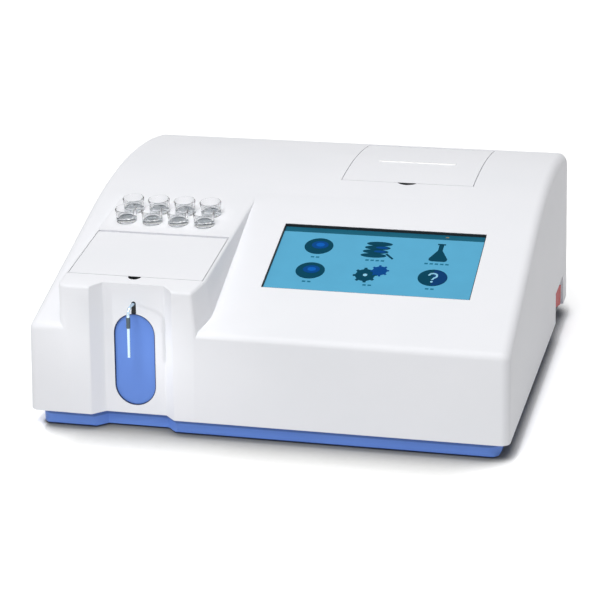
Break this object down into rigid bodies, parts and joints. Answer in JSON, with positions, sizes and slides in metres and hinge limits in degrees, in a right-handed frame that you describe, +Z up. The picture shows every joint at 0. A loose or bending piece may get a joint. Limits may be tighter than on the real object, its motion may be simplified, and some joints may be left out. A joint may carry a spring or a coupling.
{
  "type": "semi-automatic chemistry analyzer",
  "caption": "Wedge-shaped bench chemistry analyzer with a sample needle over a push key, a hinged cell lid, sample cups, a sloped touch screen and a printer under a curved door.",
  "frame": {"origin": "on the bench, under the middle of the whole object's extents", "axes": "+X to the operator's right, +Y to the back, +Z up"},
  "size_m": [0.356, 0.3508, 0.1455],
  "materials": {
    "white_plastic": "satin",
    "blue_plastic": "satin",
    "black_plastic": "matte",
    "rubber": "matte",
    "steel": "brushed",
    "aluminium": "milled",
    "clear_plastic": "clear",
    "glass": "polished",
    "screen": "lit panel",
    "red_plastic": "gloss",
    "circuit_board": "solder mask",
    "silicone": "satin",
    "paper": "matte",
    "motor_can": "satin"
  },
  "bodies": {
    "case": {"upper_housing": "white_plastic", "base_tray": "blue_plastic", "rubber_feet": "rubber", "case_screws": "steel", "chassis_plate": "steel", "rear_panel": "white_plastic", "hinge_pins": "steel", "key_spring": "steel", "key_bracket": "steel", "key_switch": "black_plastic", "sipper_needle": "steel", "needle_sleeve": "steel", "touch_glass": "screen", "display_module": "black_plastic", "display_bracket": "steel", "switch_body": "black_plastic", "cell_well": "black_plastic", "cell_block": "aluminium", "flow_cell": "glass", "peltier": "white_plastic", "heat_sink": "aluminium", "detector_board": "circuit_board", "lamp_house": "black_plastic", "halogen_lamp": "glass", "condenser_lens": "glass", "filter_motor": "motor_can", "pump_motor": "motor_can", "pump_head": "black_plastic", "pump_tube": "silicone", "sample_tube": "silicone", "drain_tubes": "silicone", "printer_frame": "black_plastic", "print_head": "aluminium", "printer_motor": "motor_can", "main_board": "circuit_board", "power_supply": "circuit_board", "mains_inlet": "black_plastic", "fan_frame": "black_plastic"},
    "lid": {"sample_lid": "white_plastic"},
    "door": {"printer_door": "white_plastic"},
    "key": {"sample_key": "blue_plastic"},
    "rocker": {"power_rocker": "red_plastic"},
    "wheel": {"filter_wheel": "black_plastic", "interference_filters": "glass"},
    "rotor": {"pump_rotor": "white_plastic"},
    "fan": {"fan_rotor": "black_plastic"},
    "platen": {"platen_roller": "steel"},
    "pinion": {"motor_pinion": "white_plastic"},
    "roll": {"paper_roll": "paper"},
    "cup_1": {"sample_cup_1": "clear_plastic"},
    "cup_2": {"sample_cup_2": "clear_plastic"},
    "cup_3": {"sample_cup_3": "clear_plastic"},
    "cup_4": {"sample_cup_4": "clear_plastic"},
    "cup_5": {"sample_cup_5": "clear_plastic"},
    "cup_6": {"sample_cup_6": "clear_plastic"},
    "cup_7": {"sample_cup_7": "clear_plastic"},
    "cup_8": {"sample_cup_8": "clear_plastic"},
    "roller_1": {"pump_roller_1": "white_plastic"},
    "roller_2": {"pump_roller_2": "white_plastic"},
    "roller_3": {"pump_roller_3": "white_plastic"}
  },
  "joints": [
    {"name": "lid_hinge", "type": "hinge", "parent": "case", "child": "lid", "pos_m": [-0.1005, -0.07708, 0.12001], "axis": [-1, 0, 0], "range_deg": [0, 92]},
    {"name": "door_hinge", "type": "hinge", "parent": "case", "child": "door", "pos_m": [0.0653, 0.14302, 0.13759], "axis": [-1, 0, 0], "range_deg": [0, 90]},
    {"name": "key_press", "type": "slide", "parent": "case", "child": "key", "axis": [0, 0.999, -0.0454], "range_m": [0, 0.003], "stiffness_N_per_m": 250, "springref_m": -0.004, "deforming": ["key_spring"]},
    {"name": "rocker_pivot", "type": "hinge", "parent": "case", "child": "rocker", "pos_m": [0.172, 0.11502, 0.0255], "axis": [0, 0, 1], "range_deg": [0, 18]},
    {"name": "cup_1_lift", "type": "slide", "parent": "case", "child": "cup_1", "axis": [0, -0.1426, 0.9898], "range_m": [0, 0.03]},
    {"name": "cup_2_lift", "type": "slide", "parent": "case", "child": "cup_2", "axis": [0, -0.1426, 0.9898], "range_m": [0, 0.03]},
    {"name": "cup_3_lift", "type": "slide", "parent": "case", "child": "cup_3", "axis": [0, -0.1426, 0.9898], "range_m": [0, 0.03]},
    {"name": "cup_4_lift", "type": "slide", "parent": "case", "child": "cup_4", "axis": [0, -0.1426, 0.9898], "range_m": [0, 0.03]},
    {"name": "cup_5_lift", "type": "slide", "parent": "case", "child": "cup_5", "axis": [0, -0.1426, 0.9898], "range_m": [0, 0.03]},
    {"name": "cup_6_lift", "type": "slide", "parent": "case", "child": "cup_6", "axis": [0, -0.1426, 0.9898], "range_m": [0, 0.03]},
    {"name": "cup_7_lift", "type": "slide", "parent": "case", "child": "cup_7", "axis": [0, -0.1426, 0.9898], "range_m": [0, 0.03]},
    {"name": "cup_8_lift", "type": "slide", "parent": "case", "child": "cup_8", "axis": [0, -0.1426, 0.9898], "range_m": [0, 0.03]},
    {"name": "filter_spin", "type": "hinge", "parent": "case", "child": "wheel", "pos_m": [-0.0605, -0.08598, 0.05], "axis": [1, 0, 0], "continuous": true},
    {"name": "pump_spin", "type": "hinge", "parent": "case", "child": "rotor", "pos_m": [-0.113, -0.00698, 0.05], "axis": [0, 0, 1], "continuous": true},
    {"name": "roller_1_spin", "type": "hinge", "parent": "rotor", "child": "roller_1", "pos_m": [-0.098, -0.00698, 0.0585], "axis": [0, 0, 1], "continuous": true},
    {"name": "roller_2_spin", "type": "hinge", "parent": "rotor", "child": "roller_2", "pos_m": [-0.1205, 0.00601, 0.0585], "axis": [0, 0, 1], "continuous": true},
    {"name": "roller_3_spin", "type": "hinge", "parent": "rotor", "child": "roller_3", "pos_m": [-0.1205, -0.01997, 0.0585], "axis": [0, 0, 1], "continuous": true},
    {"name": "fan_spin", "type": "hinge", "parent": "case", "child": "fan", "pos_m": [-0.07, 0.14842, 0.062], "axis": [0, 1, 0], "continuous": true},
    {"name": "platen_spin", "type": "hinge", "parent": "case", "child": "platen", "pos_m": [0.0653, 0.08992, 0.12572], "axis": [1, 0, 0], "continuous": true},
    {"name": "pinion_spin", "type": "hinge", "parent": "case", "child": "pinion", "pos_m": [0.0233, 0.07339, 0.12221], "axis": [1, 0, 0], "continuous": true},
    {"name": "roll_spin", "type": "hinge", "parent": "case", "child": "roll", "pos_m": [0.0653, 0.11592, 0.11202], "axis": [1, 0, 0], "continuous": true}
  ],
  "couplings": [
    {"joint": "pinion_spin", "follows": "platen_spin", "ratio": -2},
    {"joint": "roll_spin", "follows": "platen_spin", "ratio": 0.25},
    {"joint": "roller_1_spin", "follows": "pump_spin", "ratio": -4.3333},
    {"joint": "roller_2_spin", "follows": "pump_spin", "ratio": -4.3333},
    {"joint": "roller_3_spin", "follows": "pump_spin", "ratio": -4.3333}
  ]
}
